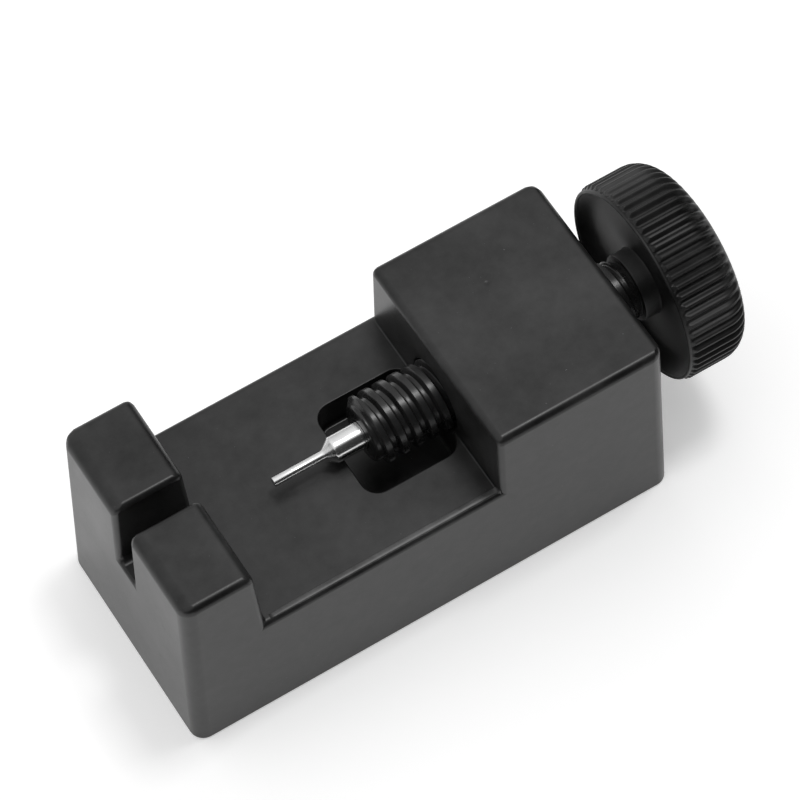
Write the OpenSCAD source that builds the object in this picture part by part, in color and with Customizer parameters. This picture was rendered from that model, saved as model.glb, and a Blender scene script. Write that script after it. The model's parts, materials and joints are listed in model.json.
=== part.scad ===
// Watch bracelet link press: a one-piece plastic body with an open bed between two anvil posts
// and a threaded block, and a thumb screw that drives a steel pin along the bed.
// Millimetres. X runs along the body with the knob at +X, Y across it, Z up from the table.
// The origin is the middle of the body's bottom face.

/* [Body] */
// length of the bottom face
body_length = 47; // [42:0.5:60]
// width of the bottom face
body_width = 21.2; // [18:0.2:30]
// height of the bed that the bracelet lies on
bed_height = 13.1; // [11:0.1:13.4]
// lean of every outside wall, so the moulding leaves its tool
draft_angle = 1.7; // [0.5:0.1:2.5]
// radius of the upright corners
corner_radius = 1.3; // [0.8:0.1:2]
// radius of the top edges along the posts and the block
top_radius = 0.65; // [0.4:0.05:1]

/* [Posts] */
// length of the two anvil posts at bed level
post_length = 7.7; // [5:0.1:9]
// height of the posts
post_height = 21.4; // [19:0.1:26]
// lean of the posts' faces towards the bed
post_draft = 3.4; // [1:0.1:5]
// radius of the posts' top edge at the end of the body
end_edge_radius = 1.15; // [0.6:0.05:1.6]
// radius of the posts' top edge above the bed
post_top_radius = 0.9; // [0.4:0.1:1.2]
// gap between the posts that the pushed-out link pin passes through
slot_width = 2.5; // [2:0.1:4]

/* [Block] */
// length of the block that carries the screw, at bed level
block_length = 16.8; // [12:0.1:20]
// height of the block
block_height = 21.1; // [19:0.1:26]

/* [Pocket] */
// length of the clearance pocket in the bed under the screw
pocket_length = 9.2; // [5:0.1:11]
// width of the pocket
pocket_width = 9.6; // [8:0.1:12]
// depth of the pocket below the bed
pocket_depth = 3.6; // [2.6:0.1:6]
// radius of the pocket's upright corners
pocket_radius = 1.5; // [0.8:0.1:2.5]

/* [Screw] */
// height of the screw's centre line above the table
axis_height = 14.8; // [14.5:0.1:15.6]
// outside diameter of the screw thread
thread_diameter = 6.4; // [5.6:0.1:7]
// advance of the thread in one turn
thread_pitch = 1.4; // [1.2:0.05:1.6]
// height of the thread's ridge
thread_depth = 0.55; // [0.4:0.05:0.8]
// distance from the screw's tip to the middle of the body, as drawn
tip_reach = 0.5; // [0:0.1:2]
// clearance between the screw's thread and the block's, all round
thread_gap = 0.12; // [0.1:0.01:0.2]

/* [Knob] */
// outside diameter of the knob
knob_diameter = 18.4; // [16:0.2:20]
// thickness of the knob, rim to outer face
knob_thickness = 6.4; // [5.5:0.1:8]
// gap between the knob's rim and the foot of the block, as drawn
knob_gap = 2.6; // [1.5:0.1:6]
// number of grip ribs round the knob
rib_count = 60; // [30:2:72]
// depth of the grooves between the ribs
rib_depth = 0.35; // [0.2:0.05:0.5]
// radius of the knob's outer edge
knob_edge_radius = 2.3; // [1:0.1:2.8]

/* [Pin] */
// diameter of the pin's shank
shank_diameter = 2.4; // [1.5:0.05:3]
// diameter of the thin end that pushes the link pin
tip_diameter = 0.85; // [0.6:0.05:1.1]
// length of the thin end
tip_length = 4.8; // [3:0.05:6]
// length of the taper between shank and thin end
taper_length = 0.85; // [0.5:0.05:1.5]
// length of shank standing out of the screw
shank_length = 2.85; // [1.5:0.05:4]
// depth of the pin's seat in the end of the screw
seat_depth = 5; // [3:0.5:8]

/* [Hidden] */
$fn = 64;
half_length = body_length / 2;
half_width = body_width / 2;
draft_slope = tan(draft_angle);
post_x = -half_length + post_length;
block_x = half_length - block_length;
slot_edge_radius = 0.6;
slot_floor_radius = 0.8;
bed_edge_radius = 0.5;
post_edge_radius = 0.6;
block_edge_radius = 0.55;
past = 2;

thread_radius = thread_diameter / 2;
root_radius = thread_radius - thread_depth;
tip_x = -tip_reach;
knob_x = half_length + knob_gap;
neck_length = 1;
neck_overlap = 0.5;
neck_radius = root_radius - 0.05;
thread_length = knob_x - neck_length - tip_x;
thread_lead_in = 0.5;
thread_run_out = 0.4;
thread_segments = 24;
thread_start_angle = 120;
crest_start = 0.15;
crest_end = 0.56;
flank_end = 0.71;
bore_lead = thread_gap / thread_pitch;
spigot_radius = 2;
spigot_length = 4;

knob_radius = knob_diameter / 2;
rim_radius = knob_radius - 0.3;
rim_bevel = 0.55;
dish_radius = rim_radius - 1.4;
dish_depth = 1.1;
hub_radius = 3.1;
hub_reach = 0.5;

shank_radius = shank_diameter / 2;
tip_radius = tip_diameter / 2;
seat_gap = 0.04;
tip_bevel = 0.08;
pin_end_x = tip_x - shank_length - taper_length - tip_length;
pin_length = tip_length + taper_length + shank_length + seat_depth - 0.1;

// Prism that trims the sharp edge at the origin to a rounded one. The edge runs along Z, the two
// faces meeting there point along the directions a and b, and the solid lies behind both.
// The round meets each face at a few degrees instead of being exactly tangent to it.
module edge_trim(r, a, b, length) {
    half_turn = (b - a) / 2;
    middle = (a + b) / 2;
    over = 0.4;
    meeting_angle = 3;
    centre = -r * cos(meeting_angle) / cos(half_turn);
    far = (r + over) / cos(half_turn);
    rotate([0, 0, middle])
        translate([centre, 0, 0])
            difference() {
                linear_extrude(height = length)
                    polygon([
                        [0, 0],
                        [(r + over) * cos(half_turn), -(r + over) * sin(half_turn)],
                        [far, 0],
                        [(r + over) * cos(half_turn), (r + over) * sin(half_turn)]
                    ]);
                translate([0, 0, -1])
                    cylinder(r = r, h = length + 2);
            }
}

// Side view of the body: posts, bed and block.
module side_profile() {
    top_shift = block_height * draft_slope;
    post_shift = (post_height - bed_height) * tan(post_draft);
    rotate([90, 0, 0])
        translate([0, 0, -half_width - past])
            linear_extrude(height = body_width + 2 * past)
                polygon([
                    [-half_length, 0],
                    [half_length, 0],
                    [half_length - top_shift, block_height],
                    [block_x, block_height],
                    [block_x, bed_height],
                    [post_x, bed_height],
                    [post_x - post_shift, post_height],
                    [-half_length + post_height * draft_slope, post_height]
                ]);
}

// End view of the body: a bar with leaning sides.
module end_profile() {
    top = max(block_height, post_height);
    top_shift = top * draft_slope;
    rotate([90, 0, 90])
        translate([0, 0, -half_length - past])
            linear_extrude(height = body_length + 2 * past)
                polygon([
                    [-half_width, 0],
                    [half_width, 0],
                    [half_width - top_shift, top],
                    [-half_width + top_shift, top]
                ]);
}

// Rounds a top edge that runs across the body. facing is +1 or -1 along X, lean the wall's draft.
module cross_edge(x, z, facing, lean, r) {
    face = facing > 0 ? lean : 180 - lean;
    low = min(face, 90);
    high = max(face, 90);
    translate([x, half_width + past, z])
        rotate([90, 0, 0])
            edge_trim(r, low, high, body_width + 2 * past);
}

// Rounds the two long edges of a level surface at height z.
module long_edges(x_from, x_to, z, r) {
    top_y = half_width - z * draft_slope;
    for (side = [-1, 1]) {
        face = side > 0 ? draft_angle : 180 - draft_angle;
        translate([x_from, side * top_y, z])
            rotate([90, 0, 90])
                edge_trim(r, min(face, 90), max(face, 90), x_to - x_from);
    }
}

// Rounds an upright edge from its foot at the given point. x_lean and y_lean tilt it that way,
// x_face and y_face say which way the two faces look.
module upright_edge(foot, x_lean, y_lean, x_face, y_face, r, length) {
    low = y_face > 0 ? (x_face > 0 ? 0 : 90) : (x_face > 0 ? -90 : 180);
    translate(foot)
        rotate([-y_lean, x_lean, 0])
            edge_trim(r, low, low + 90, length);
}

// The four outside corners.
module outside_corners() {
    for (x_side = [-1, 1])
        for (y_side = [-1, 1])
            upright_edge(
                [
                    x_side * (half_length + past * draft_slope),
                    y_side * (half_width + past * draft_slope),
                    -past
                ],
                -x_side * draft_angle,
                -y_side * draft_angle,
                x_side,
                y_side,
                corner_radius,
                max(block_height, post_height) + 2 * past
            );
}

// The upright edges that face the bed, on the posts and on the block.
module bed_side_corners() {
    bed_y = half_width - bed_height * draft_slope;
    for (side = [-1, 1]) {
        upright_edge(
            [post_x, side * bed_y, bed_height],
            -post_draft,
            -side * draft_angle,
            1,
            side,
            post_edge_radius,
            block_height
        );
        upright_edge(
            [block_x, side * bed_y, bed_height],
            0,
            -side * draft_angle,
            -1,
            side,
            block_edge_radius,
            block_height
        );
    }
}

module pocket() {
    floor_z = bed_height - pocket_depth;
    translate([block_x - pocket_length, 0, floor_z])
        difference() {
            translate([0, -pocket_width / 2, 0])
                cube([pocket_length, pocket_width, pocket_depth + past]);
            for (x_end = [0, 1])
                for (side = [-1, 1])
                    translate([x_end * pocket_length, side * pocket_width / 2, -1])
                        rotate([0, 0, x_end == 1 ? (side > 0 ? 0 : -90) : (side > 0 ? 90 : 180)])
                            edge_trim(pocket_radius, 0, 90, pocket_depth + past + 2);
        }
}

module slot() {
    wall_y = slot_width / 2;
    front_x = -half_length + bed_height * draft_slope;
    translate([-half_length - past, 0, bed_height])
        rotate([90, 0, 90])
            linear_extrude(height = post_length + 2 * past)
                hull() {
                    for (side = [-1, 1])
                        translate([side * (wall_y - slot_floor_radius), slot_floor_radius])
                            circle(r = slot_floor_radius, $fn = 48);
                    translate([-wall_y, post_height])
                        square([slot_width, 1]);
                }
    for (side = [-1, 1]) {
        translate([-half_length - past, side * wall_y, post_height])
            rotate([90, 0, 90])
                edge_trim(slot_edge_radius, side > 0 ? 90 : 0, side > 0 ? 180 : 90, post_length + past);
        upright_edge(
            [front_x, side * wall_y, bed_height + slot_floor_radius],
            draft_angle,
            0,
            -1,
            -side,
            slot_edge_radius,
            post_height
        );
        upright_edge(
            [post_x, side * wall_y, bed_height + slot_floor_radius],
            -post_draft,
            0,
            1,
            -side,
            slot_edge_radius,
            post_height
        );
    }
}

// Thread surface as one closed shape: a core of radius r_core with a ridge up to r_crest.
// The ridge grows from nothing over fade_in at the start and dies over fade_out at the end.
module thread_shape(length, r_core, r_crest, widen, fade_in, fade_out) {
    n = thread_segments;
    turns = ceil(length / thread_pitch) + 1;
    edges = [-widen, crest_start - widen, crest_end + widen, flank_end + widen];
    rows = 4 * turns + 1;
    function raw(i, t) = (floor(t / 4) + edges[t % 4] + i / n - 1) * thread_pitch;
    function fade(z) = max(0, min(1, z / fade_in, (length - z) / fade_out));
    function up(t) = (t % 4 == 1 || t % 4 == 2) ? 1 : 0;
    function radius(i, t) = r_core + up(t) * (r_crest - r_core) * fade(raw(i, t));
    function id(i, t) = raw(i, t) <= 0.001 ? i
        : raw(i, t) >= length - 0.001 ? n + i
        : 2 * n + i * rows + t;
    function spot(i, r, z) = [r * cos(360 * i / n), r * sin(360 * i / n), z];
    ends = [
        for (i = [0 : n - 1]) spot(i, r_core, 0),
        for (i = [0 : n - 1]) spot(i, r_core, length)
    ];
    skin = [
        for (i = [0 : n - 1])
            for (t = [0 : rows - 1])
                spot(i, radius(i, t), min(length, max(0, raw(i, t))))
    ];
    sides = [
        for (i = [0 : n - 1])
            for (t = [0 : rows - 2])
                let (
                    next = (i + 1) % n,
                    step = i == n - 1 ? 4 : 0,
                    a = id(i, t),
                    b = id(i, t + 1),
                    last = t + 1 + step > rows - 1,
                    c = last ? n + next : id(next, t + 1 + step),
                    d = t + step > rows - 1 ? n + next : id(next, t + step)
                )
                    each [
                        if (a != c && c != d && a != d) [a, c, d],
                        if (a != b && b != c && a != c) [a, b, c]
                    ]
    ];
    caps = [
        [for (i = [0 : n - 1]) i],
        [for (i = [0 : n - 1]) n + n - 1 - i]
    ];
    polyhedron(points = concat(ends, skin), faces = concat(sides, caps), convexity = 10);
}

module threaded_bore() {
    lead_turns = floor((block_x - tip_x) / thread_pitch) - 1;
    start = tip_x + lead_turns * thread_pitch;
    reach = half_length + past - start;
    translate([start, 0, axis_height])
        rotate([0, 90, 0])
            rotate([0, 0, thread_start_angle])
                thread_shape(
                    reach,
                    root_radius + thread_gap,
                    thread_radius + thread_gap,
                    bore_lead,
                    0.3,
                    0.3
                );
}

module body() {
    color([0.05, 0.05, 0.055])
        difference() {
            intersection() {
                side_profile();
                end_profile();
            }
            outside_corners();
            bed_side_corners();
            long_edges(-half_length - past, post_x + past, post_height, top_radius);
            long_edges(block_x - past, half_length + past, block_height, top_radius);
            long_edges(post_x, block_x, bed_height, bed_edge_radius);
            cross_edge(
                -half_length + post_height * draft_slope,
                post_height,
                -1,
                draft_angle,
                end_edge_radius
            );
            cross_edge(
                post_x - (post_height - bed_height) * tan(post_draft),
                post_height,
                1,
                post_draft,
                post_top_radius
            );
            cross_edge(
                half_length - block_height * draft_slope,
                block_height,
                1,
                draft_angle,
                top_radius
            );
            cross_edge(block_x, block_height, -1, 0, block_edge_radius);
            pocket();
            slot();
            threaded_bore();
        }
}

module feed_screw() {
    color([0.06, 0.06, 0.065])
        translate([tip_x, 0, axis_height])
            rotate([0, 90, 0])
                difference() {
                    union() {
                        rotate([0, 0, thread_start_angle])
                            thread_shape(
                                thread_length,
                                root_radius,
                                thread_radius,
                                0,
                                thread_lead_in,
                                thread_run_out
                            );
                        translate([0, 0, thread_length - neck_overlap])
                            cylinder(r = neck_radius, h = neck_length + neck_overlap - hub_reach);
                        translate([0, 0, thread_length + neck_length - hub_reach])
                            cylinder(r = spigot_radius, h = spigot_length + hub_reach);
                    }
                    translate([0, 0, -1])
                        cylinder(r = shank_radius + seat_gap, h = seat_depth + 1);
                }
}

module knob() {
    color([0.05, 0.05, 0.055])
        translate([knob_x, 0, axis_height])
            rotate([0, 90, 0])
                difference() {
                    intersection() {
                        knob_round();
                        knob_ribs();
                    }
                    translate([0, 0, -1])
                        cylinder(r = spigot_radius, h = spigot_length + 1);
                }
}

module knob_round() {
    rotate_extrude()
        difference() {
            polygon([
                [0, -hub_reach],
                [hub_radius, -hub_reach],
                [hub_radius, dish_depth],
                [dish_radius, dish_depth],
                [rim_radius - 0.3, 0],
                [rim_radius, 0],
                [knob_radius, rim_bevel],
                [knob_radius, knob_thickness],
                [0, knob_thickness]
            ]);
            translate([knob_radius - knob_edge_radius, knob_thickness - knob_edge_radius])
                difference() {
                    square(knob_edge_radius + 1);
                    circle(r = knob_edge_radius);
                }
        }
}

// Star-shaped bar: its notches cut the grooves and its points stay clear of the knob's round.
module knob_ribs() {
    step = 360 / rib_count;
    groove_share = 0.54;
    clear = 0.1;
    half_notch = groove_share / 2 * (rib_depth + clear) / rib_depth;
    translate([0, 0, -1])
        linear_extrude(height = knob_thickness + 2)
            polygon([
                for (k = [0 : rib_count - 1])
                    for (p = [[-half_notch, clear], [0, -rib_depth], [half_notch, clear]])
                        let (a = (k + p[0]) * step, r = knob_radius + p[1])
                            [r * cos(a), r * sin(a)]
            ]);
}

module push_pin() {
    color([0.75, 0.76, 0.78])
        translate([pin_end_x, 0, axis_height])
            rotate([0, 90, 0])
                rotate_extrude()
                    polygon([
                        [0, 0],
                        [tip_radius - tip_bevel, 0],
                        [tip_radius, tip_bevel],
                        [tip_radius, tip_length],
                        [shank_radius, tip_length + taper_length],
                        [shank_radius, pin_length],
                        [0, pin_length]
                    ]);
}

body();
feed_screw();
knob();
push_pin();
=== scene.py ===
"""Looks of the watch bracelet link press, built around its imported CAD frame. Metres."""

import json
import math

import bmesh
import bpy
from mathutils import Matrix, Vector


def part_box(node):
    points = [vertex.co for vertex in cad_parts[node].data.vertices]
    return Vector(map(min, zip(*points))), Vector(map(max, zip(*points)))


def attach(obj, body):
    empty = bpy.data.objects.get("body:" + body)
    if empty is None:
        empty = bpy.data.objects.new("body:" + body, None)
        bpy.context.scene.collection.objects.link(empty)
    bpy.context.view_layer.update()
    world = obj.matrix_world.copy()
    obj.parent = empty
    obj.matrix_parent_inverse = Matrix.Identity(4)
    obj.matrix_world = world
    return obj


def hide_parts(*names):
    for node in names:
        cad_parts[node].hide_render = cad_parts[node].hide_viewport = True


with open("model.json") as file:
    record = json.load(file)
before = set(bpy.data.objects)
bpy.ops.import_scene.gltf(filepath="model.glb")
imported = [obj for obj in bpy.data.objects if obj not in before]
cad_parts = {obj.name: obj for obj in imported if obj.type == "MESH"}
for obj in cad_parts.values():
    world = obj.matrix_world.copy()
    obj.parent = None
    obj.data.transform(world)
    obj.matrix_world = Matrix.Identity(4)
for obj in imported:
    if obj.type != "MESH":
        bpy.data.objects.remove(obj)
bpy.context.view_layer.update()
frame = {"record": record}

MM = 0.001
mounts = {mount["name"]: mount for mount in frame["record"]["mounts"]}
body_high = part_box("body")[1]
screw_low, screw_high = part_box("feed_screw")
knob_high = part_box("knob")[1]
pin_low, pin_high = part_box("push_pin")

# Places and sizes taken from the frame.
HALF_LENGTH = body_high[0]
HALF_WIDTH = body_high[1]
POST_TOP = body_high[2]
BED = 13.1 * MM
AXIS = mounts["pin_tip"]["pos_m"][2]
THREAD_RADIUS = screw_high[1]
KNOB_RADIUS = knob_high[1]
PIN_TIP_RADIUS = mounts["pin_tip"]["dims"]["r_mm"] * MM
SHANK_RADIUS = pin_high[1]

# Sizes shared with the CAD source.
DRAFT = math.tan(math.radians(1.7))
POST_DRAFT = math.tan(math.radians(3.4))
POST_X = -HALF_LENGTH + 7.7 * MM
BLOCK_X = HALF_LENGTH - 16.8 * MM
BLOCK_TOP = 21.1 * MM
SLOT_HALF = 1.25 * MM
POCKET_LENGTH = 8.9 * MM
POCKET_WIDTH = 9.6 * MM
POCKET_DEPTH = 3.6 * MM
POCKET_CORNER = 1.5 * MM
POCKET_TO_BLOCK = 0.3 * MM
PITCH = 1.4 * MM
THREAD_DEPTH = 0.55 * MM
THREAD_TURN = 120
THREAD_GAP = 0.12 * MM
NECK_LENGTH = 0.5 * MM
HUB_RADIUS = 3.1 * MM
HUB_REACH = 0.5 * MM
RIM_X = HALF_LENGTH + 2.6 * MM
SPIGOT_RADIUS = 2.0 * MM
SPIGOT_LENGTH = 4.5 * MM
SEAT_RADIUS = SHANK_RADIUS + 0.04 * MM
SEAT_DEPTH = 5.0 * MM
TIP_LENGTH = 4.8 * MM
TAPER_LENGTH = 0.85 * MM
RIBS = 60
RIB_DEPTH = 0.36 * MM
RIM_LAND = 0.22 * MM
KNOB_EDGE = 2.3 * MM

# Rounding of the moulding's edges, by kind.
CORNER_ROUND = 1.3 * MM
TOP_ROUND = 0.72 * MM
END_ROUND = 1.2 * MM
POST_ROUND = 0.9 * MM
INNER_ROUND = 0.6 * MM
SLOT_ROUND = 0.55 * MM
SLOT_FLOOR_ROUND = 0.7 * MM
FOOT_ROUND = 0.2 * MM
BED_EDGE_ROUND = 0.57 * MM
POCKET_RIM_ROUND = 0.13 * MM
FILLET = 0.3 * MM

# Small marks of moulding: the gate's dimple on the block and the lip along the bed's near edge.
GATE_PLACE = (14.05 * MM, 3.5 * MM, BLOCK_TOP)
GATE_RADIUS = 0.42 * MM
GATE_DEPTH = 0.035 * MM
LIP_SECTION = [  # millimetres towards the bed's middle and up
    (0.34, -0.01),
    (0.2, 0.012),
    (0.04, 0.03),
    (-0.08, 0.022),
    (-0.2, -0.005),
    (-0.3, -0.035),
    (-0.36, -0.2),
]
LIP_STEPS = 60
SPUR_STEPS = 8

# Stage and light.
FLOOR_HALF = 0.45
FLOOR_GLOW = 0.35
DOME_LEAN = 38  # degrees from overhead towards the far side
DOME_SIDE = -0.3
DOME_FADE = (0.34, 0.52)  # cosines of the angles at which the dome ends and is full
ROOM_GLOW = 0.05
HORIZON_GLOW, ZENITH_GLOW = 0.55, 1.04
KEY_TOWARDS = (0.24, 0.02, 0.97)
KEY_DISTANCE = 0.6
KEY_SIZE = 0.12
KEY_POWER = 0.88
CAMERA_EYE = (-0.0864, -0.1623, 0.3411)
CAMERA_ANGLES = (29.1, 60.2, 3.0)  # azimuth, elevation and roll
CAMERA_LENS = 203.8
CAMERA_SHIFT = (-0.0078, -0.0034)


# ---------------------------------------------------------------- mesh helpers


def clamp(value):
    return min(1.0, max(0.0, value))


def add_object(name, mesh):
    obj = bpy.data.objects.new(name, mesh)
    bpy.context.scene.collection.objects.link(obj)
    return obj


def object_from(name, bm):
    mesh = bpy.data.meshes.new(name)
    bm.to_mesh(mesh)
    bm.free()
    return add_object(name, mesh)


def bake_modifiers(obj):
    """Replaces the object's mesh by what its modifiers make of it."""
    bpy.context.view_layer.update()
    shown = obj.evaluated_get(bpy.context.evaluated_depsgraph_get())
    mesh = bpy.data.meshes.new_from_object(shown)
    obj.modifiers.clear()
    old, obj.data = obj.data, mesh
    bpy.data.meshes.remove(old)


def cut(obj, cutter):
    """Takes the cutter's shape out of the object and deletes the cutter."""
    boolean = obj.modifiers.new("cut", "BOOLEAN")
    boolean.operation = "DIFFERENCE"
    boolean.solver = "EXACT"
    boolean.object = cutter
    bake_modifiers(obj)
    bpy.data.objects.remove(cutter)


def smooth(obj, sharp_angle=32.0):
    """Smooth shading with flat faces kept flat and real edges kept sharp."""
    obj.data.shade_smooth()
    obj.data.set_sharp_from_angle(angle=math.radians(sharp_angle))
    weighted = obj.modifiers.new("normals", "WEIGHTED_NORMAL")
    weighted.keep_sharp = True
    weighted.weight = 80
    bake_modifiers(obj)


def arc(centre, radius, start, end, steps):
    """Points on an arc, angles in degrees."""
    turns = [math.radians(start + (end - start) * k / steps) for k in range(steps + 1)]
    return [(centre[0] + radius * math.cos(a), centre[1] + radius * math.sin(a)) for a in turns]


def rings(bm, profile, count, shape=None):
    """Rows of vertices round the screw's centre line, one for each (x, radius) of the profile."""
    rows = []
    for x, radius in profile:
        row = []
        for k in range(count):
            angle = 2 * math.pi * k / count
            r = shape(x, radius, angle) if shape else radius
            row.append(bm.verts.new((x, r * math.cos(angle), AXIS + r * math.sin(angle))))
        rows.append(row)
    return rows


def skin(bm, rows):
    """Faces between neighbouring closed rows of vertices."""
    for low, high in zip(rows, rows[1:]):
        for k in range(len(low)):
            n = (k + 1) % len(low)
            bm.faces.new((low[k], low[n], high[n], high[k]))


def cap(bm, row, x):
    """Closes a row with a fan to a point on the centre line."""
    middle = bm.verts.new((x, 0, AXIS))
    for k in range(len(row)):
        bm.faces.new((row[k], middle, row[(k + 1) % len(row)]))


def lathe(name, profile, count, shape=None):
    bm = bmesh.new()
    rows = rings(bm, profile, count, shape)
    skin(bm, rows)
    cap(bm, rows[0], profile[0][0])
    cap(bm, rows[-1], profile[-1][0])
    bmesh.ops.recalc_face_normals(bm, faces=bm.faces)
    return object_from(name, bm)


# ---------------------------------------------------------------- thread


def thread_height(u):
    """Height of the thread's section, 0 to 1, over one pitch: a broad crest, a narrow groove."""
    u = (u + 0.1) % 1.0 - 0.1
    ramp = clamp(min(u + 0.02, 0.73 - u) / 0.19)
    return ramp * ramp * (3 - 2 * ramp)


def thread_skin(start, end, core, crest, fade_in, fade_out, skipped=0.0, count=96, samples=24):
    """An open helical skin from x = start to end.

    Its ridge grows from nothing and dies away again. skipped is how far the skin's start lies
    past the start of the helix.
    """
    bm = bmesh.new()
    turns = math.ceil((end - start + skipped) / PITCH) + 1
    columns = []
    for k in range(count):
        angle = 2 * math.pi * k / count
        column = []
        for t in range(turns * samples + 1):
            along = (t / samples + k / count - 1) * PITCH - skipped
            reach = clamp(min(along / fade_in, (end - start - along) / fade_out))
            ridge = thread_height(t / samples) * (crest - core) * reach
            x = start + min(max(along, 0.0), end - start)
            r = core + ridge
            # The angle runs from -Z through +Y, as the CAD thread's does.
            place = angle + math.radians(THREAD_TURN)
            column.append(bm.verts.new((x, r * math.sin(place), AXIS - r * math.cos(place))))
        columns.append(column)
    for k in range(count):
        here, there = columns[k], columns[(k + 1) % count]
        step = samples if k == count - 1 else 0
        for t in range(len(here) - 1 - step):
            corners = (here[t], here[t + 1], there[t + 1 + step], there[t + step])
            bm.faces.new(corners)
    bmesh.ops.remove_doubles(bm, verts=bm.verts, dist=1e-7)
    bmesh.ops.dissolve_degenerate(bm, edges=bm.edges, dist=1e-7)
    return bm


def close_ends(bm):
    """Fills every open loop."""
    edges = [edge for edge in bm.edges if edge.is_boundary]
    bmesh.ops.holes_fill(bm, edges=edges, sides=0)
    bmesh.ops.recalc_face_normals(bm, faces=bm.faces)


# ---------------------------------------------------------------- body


def wall_y(z):
    return HALF_WIDTH - z * DRAFT


def front_x(z):
    return -HALF_LENGTH + z * DRAFT


def plain_body():
    """The moulding with sharp edges and no pocket: base, bed, two posts and block."""
    bm = bmesh.new()
    back_top = HALF_LENGTH - BLOCK_TOP * DRAFT
    post_top = POST_X - (POST_TOP - BED) * POST_DRAFT
    front_bed, front_top = front_x(BED), front_x(POST_TOP)
    foot_y, bed_y = HALF_WIDTH, wall_y(BED)
    block_y, post_y = wall_y(BLOCK_TOP), wall_y(POST_TOP)
    places = {
        "foot_front": (-HALF_LENGTH, foot_y, 0),
        "foot_back": (HALF_LENGTH, foot_y, 0),
        "block_back": (back_top, block_y, BLOCK_TOP),
        "block_front": (BLOCK_X, block_y, BLOCK_TOP),
        "block_foot": (BLOCK_X, bed_y, BED),
        "post_foot": (POST_X, bed_y, BED),
        "post_bed": (post_top, post_y, POST_TOP),
        "post_front": (front_top, post_y, POST_TOP),
        "slot_foot": (POST_X, SLOT_HALF, BED),
        "slot_bed": (post_top, SLOT_HALF, POST_TOP),
        "slot_front": (front_top, SLOT_HALF, POST_TOP),
        "slot_low": (front_bed, SLOT_HALF, BED),
    }
    near = {name: bm.verts.new((x, -y, z)) for name, (x, y, z) in places.items()}
    far = {name: bm.verts.new((x, y, z)) for name, (x, y, z) in places.items()}
    outline = [
        "foot_front",
        "foot_back",
        "block_back",
        "block_front",
        "block_foot",
        "post_foot",
        "post_bed",
        "post_front",
    ]
    for side in (near, far):
        bm.faces.new([side[name] for name in outline])
        bm.faces.new([side[n] for n in ("post_foot", "slot_foot", "slot_bed", "post_bed")])
        bm.faces.new([side[n] for n in ("post_front", "post_bed", "slot_bed", "slot_front")])
        bm.faces.new([side[n] for n in ("slot_low", "slot_foot", "slot_bed", "slot_front")])
    for a, b in (
        ("foot_front", "foot_back"),
        ("foot_back", "block_back"),
        ("block_back", "block_front"),
        ("block_front", "block_foot"),
    ):
        bm.faces.new((near[a], near[b], far[b], far[a]))
    bed = ["block_foot", "post_foot", "slot_foot", "slot_low"]
    bm.faces.new([near[n] for n in bed] + [far[n] for n in reversed(bed)])
    front = ["foot_front", "post_front", "slot_front", "slot_low"]
    bm.faces.new([near[n] for n in front] + [far[n] for n in reversed(front)])
    bmesh.ops.recalc_face_normals(bm, faces=bm.faces)
    return object_from("moulded_body", bm)


def rounded_prism(name, low, high, radius, steps=9):
    """An upright box with rounded corners, as a cutter."""
    (x0, y0, z0), (x1, y1, z1) = low, high
    outline = []
    for cx, cy, turn in (
        (x1 - radius, y1 - radius, 0),
        (x0 + radius, y1 - radius, 90),
        (x0 + radius, y0 + radius, 180),
        (x1 - radius, y0 + radius, 270),
    ):
        outline += arc((cx, cy), radius, turn, turn + 90, steps)
    bm = bmesh.new()
    bottom = [bm.verts.new((x, y, z0)) for x, y in outline]
    top = [bm.verts.new((x, y, z1)) for x, y in outline]
    for k in range(len(outline)):
        n = (k + 1) % len(outline)
        bm.faces.new((bottom[k], bottom[n], top[n], top[k]))
    bm.faces.new(list(reversed(bottom)))
    bm.faces.new(top)
    return object_from(name, bm)


def edge_radius(edge):
    """How far an edge of the moulding is rounded."""
    if not edge.is_manifold or edge.calc_face_angle(0) < math.radians(12):
        return 0.0
    a, b = (vert.co for vert in edge.verts)
    x, y, z = (a + b) / 2
    run = (b - a).normalized()
    upright = abs(run.z) > 0.9
    near = 0.02 * MM
    pocket_end = BLOCK_X - POCKET_TO_BLOCK
    in_pocket = abs(y) < POCKET_WIDTH / 2 + near and pocket_end - POCKET_LENGTH - near < x
    if in_pocket and x < pocket_end + near and z < BED + near and z > near:
        if upright:
            return 0.0
        return POCKET_RIM_ROUND if z > BED - near else FILLET
    if z < near:
        return 0.0
    in_slot = abs(y) < SLOT_HALF + near
    if upright:
        if in_slot:
            return SLOT_ROUND
        return CORNER_ROUND if abs(x) > HALF_LENGTH - 1 * MM else INNER_ROUND
    if z > BLOCK_TOP - near:
        if abs(run.x) > 0.9:
            return SLOT_ROUND if in_slot else TOP_ROUND
        if x < POST_X:
            return END_ROUND if x < (POST_X - HALF_LENGTH) / 2 else POST_ROUND
        return TOP_ROUND
    if abs(run.x) > 0.9:
        return SLOT_FLOOR_ROUND if in_slot else BED_EDGE_ROUND
    return FILLET


def round_edges(obj):
    """One weighted bevel, so that edges of different radius meet cleanly."""
    bm = bmesh.new()
    bm.from_mesh(obj.data)
    bmesh.ops.remove_doubles(bm, verts=bm.verts, dist=1e-7)
    flat = math.radians(0.5)
    bmesh.ops.dissolve_limit(bm, angle_limit=flat, verts=bm.verts, edges=bm.edges)
    weight = bm.edges.layers.float.new("bevel_weight_edge")
    for edge in bm.edges:
        edge[weight] = edge_radius(edge) / CORNER_ROUND
    bm.to_mesh(obj.data)
    bm.free()
    bevel = obj.modifiers.new("round", "BEVEL")
    bevel.limit_method = "WEIGHT"
    bevel.width = CORNER_ROUND
    bevel.segments = 8
    bevel.use_clamp_overlap = False
    bake_modifiers(obj)
    round_foot(obj)


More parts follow.
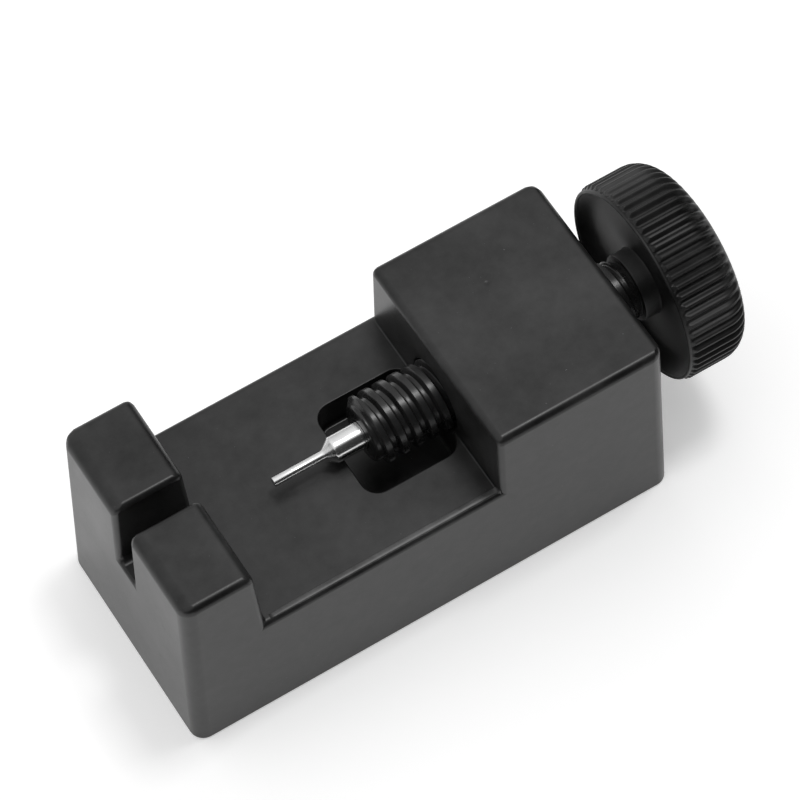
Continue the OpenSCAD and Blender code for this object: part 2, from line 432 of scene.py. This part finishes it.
def round_foot(obj):
    """Rounds the foot's whole outline, once the corners are round."""
    bm = bmesh.new()
    bm.from_mesh(obj.data)
    foot = [edge for edge in bm.edges if all(vert.co.z < 0.01 * MM for vert in edge.verts)]
    bmesh.ops.bevel(bm, geom=foot, offset=FOOT_ROUND, segments=3, profile=0.5, affect="EDGES")
    bm.to_mesh(obj.data)
    bm.free()


def gate_cutter():
    """A flat cone, half of it above the block's top."""
    bm = bmesh.new()
    bmesh.ops.create_cone(
        bm,
        cap_ends=True,
        segments=32,
        radius1=GATE_RADIUS - 0.22 * MM,
        radius2=GATE_RADIUS,
        depth=2 * GATE_DEPTH,
        matrix=Matrix.Translation(GATE_PLACE),
    )
    return object_from("gate_cutter", bm)


def mouth_cutter():
    """A short cone that countersinks the bore where the screw comes out over the bed."""
    mouth = THREAD_RADIUS + 0.2 * MM
    profile = [(BLOCK_X - 0.5 * MM, mouth + 0.5 * MM), (BLOCK_X + 0.4 * MM, mouth - 0.4 * MM)]
    return lathe("mouth_cutter", profile, 96)


def make_body():
    body = plain_body()
    pocket_end = BLOCK_X - POCKET_TO_BLOCK
    cut(
        body,
        rounded_prism(
            "pocket_cutter",
            (pocket_end - POCKET_LENGTH, -POCKET_WIDTH / 2, BED - POCKET_DEPTH),
            (pocket_end, POCKET_WIDTH / 2, BED + 1 * MM),
            POCKET_CORNER,
        ),
    )
    round_edges(body)
    start = screw_low[0] + math.floor((BLOCK_X - screw_low[0]) / PITCH - 1) * PITCH
    bore = thread_skin(
        start,
        HALF_LENGTH + 2 * MM,
        THREAD_RADIUS - THREAD_DEPTH + THREAD_GAP,
        THREAD_RADIUS + THREAD_GAP,
        0.3 * MM,
        0.3 * MM,
    )
    close_ends(bore)
    cut(body, object_from("bore_cutter", bore))
    cut(body, mouth_cutter())
    cut(body, gate_cutter())
    smooth(body)
    return body


def lip_path():
    """Points along the bed's near edge as (x, y, z, size), then up a short spur at the block."""
    edge = -(wall_y(BED) - BED_EDGE_ROUND)
    path = []
    for k in range(LIP_STEPS + 1):
        share = k / LIP_STEPS
        x = POST_X + 0.6 * MM + (BLOCK_X - POST_X - 0.75 * MM) * share
        swell = 0.6 + 0.4 * share + 0.06 * math.sin(41 * share) * math.sin(17 * share + 1)
        path.append((x, edge, BED, swell * min(1.0, 12 * share)))
    for k in range(1, SPUR_STEPS + 1):
        share = k / SPUR_STEPS
        x = BLOCK_X - (0.15 - 0.25 * share) * MM
        y = edge - 0.12 * MM * share
        z = BED + 0.3 * MM * share**1.5
        path.append((x, y, z, 1 + 1.8 * share))
    return path


def make_flash():
    """The thin raised lip that the mould left along the bed's near edge; its paler plastic is a
    painted highlight.
    """
    bm = bmesh.new()
    rows = []
    for x, y, z, size in lip_path():
        width, height = MM * (0.6 + 0.4 * min(size, 1)), MM * size
        section = [(y + across * width, z + up * height) for across, up in LIP_SECTION]
        rows.append([bm.verts.new((x, *place)) for place in section])
    skin(bm, rows)
    bm.faces.new(rows[0])
    bm.faces.new(list(reversed(rows[-1])))
    bmesh.ops.recalc_face_normals(bm, faces=bm.faces)
    flash = object_from("bed_edge_flash", bm)
    flash.data.shade_smooth()
    return flash


# ---------------------------------------------------------------- screw, knob and pin


def make_screw():
    tip, end = screw_low[0], RIM_X - HUB_REACH - NECK_LENGTH
    core = THREAD_RADIUS - THREAD_DEPTH
    bevel = 0.18 * MM
    bm = thread_skin(tip + bevel, end, core, THREAD_RADIUS, 0.45 * MM, 0.4 * MM, bevel)
    lip = 0.08 * MM
    skin(
        bm,
        rings(
            bm,
            [
                (tip + bevel, core),
                (tip + 0.03 * MM, core - 0.13 * MM),
                (tip, core - 0.2 * MM),
                (tip, SEAT_RADIUS + lip),
                (tip + lip, SEAT_RADIUS),
                (tip + SEAT_DEPTH, SEAT_RADIUS),
            ],
            96,
        ),
    )
    skin(
        bm,
        rings(
            bm,
            [
                (end, core),
                (RIM_X - HUB_REACH, core),
                (RIM_X - HUB_REACH, SPIGOT_RADIUS),
                (RIM_X - HUB_REACH + SPIGOT_LENGTH, SPIGOT_RADIUS),
            ],
            96,
        ),
    )
    bmesh.ops.remove_doubles(bm, verts=bm.verts, dist=1e-6)
    close_ends(bm)
    screw = object_from("feed_screw_thread", bm)
    smooth(screw, 40)
    return screw


def ribbed(x, radius, angle):
    """Radius of the knob's skin: a profile point, cut back where a groove passes.

    The grooves start behind the rim's land and fade out over the rounded outer edge.
    """
    phase = (angle * RIBS / (2 * math.pi)) % 1.0
    across = abs(phase - 0.5) * 2
    groove = clamp((across - 0.16) / 0.68)
    groove = groove * groove * (3 - 2 * groove)
    start = clamp((x - RIM_X - RIM_LAND) / (0.25 * MM))
    turned = (x - knob_high[0] + KNOB_EDGE) / KNOB_EDGE
    if turned <= 0:
        return min(radius, KNOB_RADIUS - RIB_DEPTH * groove * start)
    fade = clamp((0.97 - turned) / 0.35)
    return radius - RIB_DEPTH * groove * fade


def make_knob():
    inner, outer = RIM_X, knob_high[0]
    rim = KNOB_RADIUS - 0.3 * MM
    dish = inner + 1.1 * MM
    hub = HUB_RADIUS
    hub_face = inner - HUB_REACH
    edge = KNOB_EDGE
    bead = 0.16 * MM
    profile = [
        (hub_face + SPIGOT_LENGTH, SPIGOT_RADIUS),
        (hub_face, SPIGOT_RADIUS),
        (hub_face, hub - 0.2 * MM),
        (hub_face + 0.05 * MM, hub - 0.06 * MM),
        (hub_face + 0.2 * MM, hub),
        (dish - 0.25 * MM, hub),
        (dish - 0.08 * MM, hub + 0.07 * MM),
        (dish, hub + 0.25 * MM),
        (dish, rim - 2.0 * MM),
        (dish - 0.1 * MM, rim - 1.35 * MM),
        (dish - 0.35 * MM, rim - 0.85 * MM),
        (dish - 0.7 * MM, rim - 0.45 * MM),
        (inner + bead, rim - 1.5 * bead),
    ]
    profile += [(x, r) for x, r in arc((inner + bead, rim - bead / 2), bead, 250, 80, 9)]
    profile += [
        (inner + 0.3 * MM, rim + 0.02 * MM),
        (inner + 0.45 * MM, rim + 0.12 * MM),
        (inner + 0.6 * MM, KNOB_RADIUS - 0.03 * MM),
        (inner + 0.7 * MM, KNOB_RADIUS),
        (inner + 0.85 * MM, KNOB_RADIUS),
    ]
    barrel_start, barrel_end = inner + 0.85 * MM, outer - edge
    quarter = (barrel_end - barrel_start) / 4
    profile += [(barrel_start + quarter * k, KNOB_RADIUS) for k in (1, 2, 3)]
    profile += [(x, r) for r, x in arc((KNOB_RADIUS - edge, barrel_end), edge, 0, 90, 22)]
    profile += [(outer, KNOB_RADIUS - edge - 2 * MM), (outer, 1 * MM)]
    knob = lathe("ribbed_knob", profile, RIBS * 12, ribbed)
    smooth(knob, 28)
    return knob


def make_pin():
    start = pin_low[0]
    taper = start + TIP_LENGTH
    shank = taper + TAPER_LENGTH
    bevel = 0.07 * MM
    profile = [
        (start, 0.1 * MM),
        (start, PIN_TIP_RADIUS - bevel),
        (start + 0.3 * bevel, PIN_TIP_RADIUS - 0.3 * bevel),
        (start + bevel, PIN_TIP_RADIUS),
        (start + 0.5 * TIP_LENGTH, PIN_TIP_RADIUS),
        (taper - 0.12 * MM, PIN_TIP_RADIUS),
        (taper, PIN_TIP_RADIUS + 0.03 * MM),
        (taper + 0.1 * MM, PIN_TIP_RADIUS + 0.09 * MM),
        (shank - 0.08 * MM, SHANK_RADIUS - 0.07 * MM),
        (shank - 0.02 * MM, SHANK_RADIUS - 0.02 * MM),
        (shank + 0.06 * MM, SHANK_RADIUS),
        (shank + 0.2 * MM, SHANK_RADIUS),
        (pin_high[0] - 0.1 * MM, SHANK_RADIUS),
        (pin_high[0], SHANK_RADIUS - 0.1 * MM),
    ]
    pin = lathe("steel_pin", profile, 96)
    smooth(pin, 28)
    return pin


# ---------------------------------------------------------------- materials


DUST_COLOUR = (0.16, 0.16, 0.17, 1)


def node_tree(name):
    material = bpy.data.materials.new(name)
    material.use_nodes = True
    tree = material.node_tree
    shader = next(node for node in tree.nodes if node.type == "BSDF_PRINCIPLED")
    return material, tree, shader


def noise(tree, scale, detail=4.0, roughness=0.55, stretch=(1, 1, 1)):
    """Noise in object space. scale is in cycles per metre."""
    place = tree.nodes.new("ShaderNodeTexCoord")
    mapping = tree.nodes.new("ShaderNodeMapping")
    mapping.inputs["Scale"].default_value = stretch
    tree.links.new(place.outputs["Object"], mapping.inputs["Vector"])
    texture = tree.nodes.new("ShaderNodeTexNoise")
    texture.inputs["Scale"].default_value = scale
    texture.inputs["Detail"].default_value = detail
    texture.inputs["Roughness"].default_value = roughness
    tree.links.new(mapping.outputs["Vector"], texture.inputs["Vector"])
    return texture.outputs["Fac"]


def remap(tree, value, from_low, from_high, to_low, to_high):
    node = tree.nodes.new("ShaderNodeMapRange")
    node.inputs["From Min"].default_value = from_low
    node.inputs["From Max"].default_value = from_high
    node.inputs["To Min"].default_value = to_low
    node.inputs["To Max"].default_value = to_high
    tree.links.new(value, node.inputs["Value"])
    return node.outputs["Result"]


def combine(tree, operation, a, b):
    node = tree.nodes.new("ShaderNodeMath")
    node.operation = operation
    for socket, value in zip(node.inputs, (a, b)):
        if isinstance(value, (int, float)):
            socket.default_value = value
        else:
            tree.links.new(value, socket)
    return node.outputs["Value"]


def grey(tree, value):
    """A grey whose brightness is the value."""
    node = tree.nodes.new("ShaderNodeCombineColor")
    for channel in ("Red", "Green", "Blue"):
        tree.links.new(value, node.inputs[channel])
    return node.outputs["Color"]


def bump(tree, height, distance, strength=1.0, under=None):
    node = tree.nodes.new("ShaderNodeBump")
    node.inputs["Distance"].default_value = distance
    node.inputs["Strength"].default_value = strength
    tree.links.new(height, node.inputs["Height"])
    if under is not None:
        tree.links.new(under, node.inputs["Normal"])
    return node.outputs["Normal"]


def black_plastic(name, tone, roughness, specular=0.4):
    """Moulded black plastic: fine grain, cloudy gloss, a few rubbed marks and specks of dust."""
    material, tree, shader = node_tree(name)
    cloud = noise(tree, 130, 3)
    mottle = noise(tree, 900, 4, 0.6)
    fleck = noise(tree, 5200, 2)
    grain = noise(tree, 9000, 3, 0.6)
    rub = noise(tree, 900, 5, 0.7, (0.25, 1.0, 1.0))
    patchy = combine(
        tree,
        "ADD",
        remap(tree, cloud, 0.32, 0.68, -0.4 * tone, 1.1 * tone),
        remap(tree, mottle, 0.3, 0.7, 0.4 * tone, 1.1 * tone),
    )
    dust = remap(tree, fleck, 0.76, 0.80, 0.0, 1.0)
    mix = tree.nodes.new("ShaderNodeMix")
    mix.data_type = "RGBA"
    tree.links.new(dust, mix.inputs["Factor"])
    tree.links.new(grey(tree, patchy), mix.inputs["A"])
    mix.inputs["B"].default_value = DUST_COLOUR
    tree.links.new(mix.outputs["Result"], shader.inputs["Base Color"])
    cloudy = remap(tree, cloud, 0.3, 0.7, roughness - 0.04, roughness + 0.04)
    rubbed = remap(tree, rub, 0.62, 0.75, 0.0, 0.08)
    tree.links.new(combine(tree, "ADD", cloudy, rubbed), shader.inputs["Roughness"])
    wave = bump(tree, noise(tree, 160, 2), 0.00002, 0.35)
    fine = bump(tree, grain, 0.000012, 0.35, wave)
    tree.links.new(fine, shader.inputs["Normal"])
    shader.inputs["Specular IOR Level"].default_value = specular
    shader.inputs["IOR"].default_value = 1.5
    return material


def steel(name):
    """Polished steel with the faint rings that turning leaves."""
    material, tree, shader = node_tree(name)
    rings_height = noise(tree, 9000, 2, 0.5, (1.0, 0.02, 0.02))
    smudge = noise(tree, 700, 4)
    tree.links.new(remap(tree, smudge, 0.3, 0.75, 0.13, 0.27), shader.inputs["Roughness"])
    tone = remap(tree, smudge, 0.2, 0.8, 0.72, 0.8)
    tree.links.new(grey(tree, tone), shader.inputs["Base Color"])
    tree.links.new(bump(tree, rings_height, 0.000006, 0.4), shader.inputs["Normal"])
    shader.inputs["Metallic"].default_value = 1.0
    return material


def floor_material():
    material, tree, shader = node_tree("pale_floor")
    shader.inputs["Base Color"].default_value = (0.93, 0.93, 0.93, 1)
    shader.inputs["Emission Color"].default_value = (1, 1, 1, 1)
    shader.inputs["Emission Strength"].default_value = FLOOR_GLOW
    fibre = noise(tree, 500, 4)
    tree.links.new(remap(tree, fibre, 0.3, 0.7, 0.6, 0.7), shader.inputs["Roughness"])
    shader.inputs["Specular IOR Level"].default_value = 0.2
    return material


# ---------------------------------------------------------------- stage, light and camera


def add_floor():
    """A pale sheet under the object."""
    bm = bmesh.new()
    signs = ((-1, -1), (1, -1), (1, 1), (-1, 1))
    bm.faces.new([bm.verts.new((x * FLOOR_HALF, y * FLOOR_HALF, 0)) for x, y in signs])
    floor = object_from("floor", bm)
    floor.data.materials.append(floor_material())


def add_world():
    """A broad soft light above and behind the object; the rest of the room is dim."""
    world = bpy.data.worlds.new("studio")
    bpy.context.scene.world = world
    world.use_nodes = True
    tree = world.node_tree
    background = tree.nodes["Background"]
    place = tree.nodes.new("ShaderNodeTexCoord")
    split = tree.nodes.new("ShaderNodeSeparateXYZ")
    tree.links.new(place.outputs["Generated"], split.inputs["Vector"])
    towards = tree.nodes.new("ShaderNodeVectorMath")
    towards.operation = "DOT_PRODUCT"
    tree.links.new(place.outputs["Generated"], towards.inputs[0])
    lean = math.radians(DOME_LEAN)
    centre = Vector((DOME_SIDE, math.sin(lean), math.cos(lean)))
    towards.inputs[1].default_value = centre.normalized()
    dome = remap(tree, towards.outputs["Value"], *DOME_FADE, ROOM_GLOW, 1.0)
    height = remap(tree, split.outputs["Z"], 0.0, 1.0, HORIZON_GLOW, ZENITH_GLOW)
    tree.links.new(combine(tree, "MULTIPLY", dome, height), background.inputs["Strength"])
    background.inputs["Color"].default_value = (1, 1, 1, 1)


def add_key_light():
    """A softbox nearly overhead, which draws the highlights on the thread and the edges."""
    light = bpy.data.lights.new("key", "AREA")
    light.shape = "SQUARE"
    light.size = KEY_SIZE
    light.energy = KEY_POWER
    box = bpy.data.objects.new("key", light)
    direction = Vector(KEY_TOWARDS).normalized()
    box.location = direction * KEY_DISTANCE + Vector((0, 0, AXIS))
    box.rotation_euler = direction.to_track_quat("Z", "Y").to_euler()
    bpy.context.scene.collection.objects.link(box)


def add_camera():
    """The view over the near side and the posts' end, from the left, looking 60 degrees down."""
    azimuth, elevation, roll = (math.radians(angle) for angle in CAMERA_ANGLES)
    camera = bpy.data.cameras.new("camera")
    camera.lens = CAMERA_LENS
    camera.sensor_width = 36
    camera.shift_x, camera.shift_y = CAMERA_SHIFT
    camera.clip_start = 0.01
    obj = bpy.data.objects.new("camera", camera)
    ahead = Vector(
        (
            math.sin(azimuth) * math.cos(elevation),
            math.cos(azimuth) * math.cos(elevation),
            -math.sin(elevation),
        )
    )
    level = ahead.cross(Vector((0, 0, 1))).normalized()
    down = ahead.cross(level)
    right = level * math.cos(roll) + down * math.sin(roll)
    up = right.cross(ahead)
    turn = Matrix((right, up, -ahead)).transposed()
    obj.matrix_world = Matrix.Translation(CAMERA_EYE) @ turn.to_4x4()
    bpy.context.scene.collection.objects.link(obj)
    bpy.context.scene.camera = obj


# ---------------------------------------------------------------- assembly


def place(obj, body, slot_name, material, node=None):
    """Gives a piece its material and its body in the frame, and hides the CAD part it replaces.
    slot_name is not used.
    """
    obj.data.materials.clear()
    obj.data.materials.append(material)
    if node:
        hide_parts(node)
    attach(obj, body)


body_black = black_plastic("body_black", 0.014, 0.35)
screw_black = black_plastic("screw_black", 0.011, 0.27)
# The lip's plastic is about four times paler than the body's: a painted highlight along the bed's
# near edge, laid on the raised lip.
flash_painted_highlight = black_plastic("flash_painted_highlight", 0.055, 0.36)
knob_black = black_plastic("knob_black", 0.011, 0.42, 0.3)
place(make_body(), "body", "body_plastic", body_black, "body")
place(make_flash(), "body", "body_plastic", flash_painted_highlight)
place(make_screw(), "screw", "screw_plastic", screw_black, "feed_screw")
place(make_knob(), "screw", "knob_plastic", knob_black, "knob")
place(make_pin(), "pin", "pin_steel", steel("polished_steel"), "push_pin")
add_floor()
add_world()
add_key_light()
add_camera()
bpy.context.scene.view_settings.view_transform = "Standard"
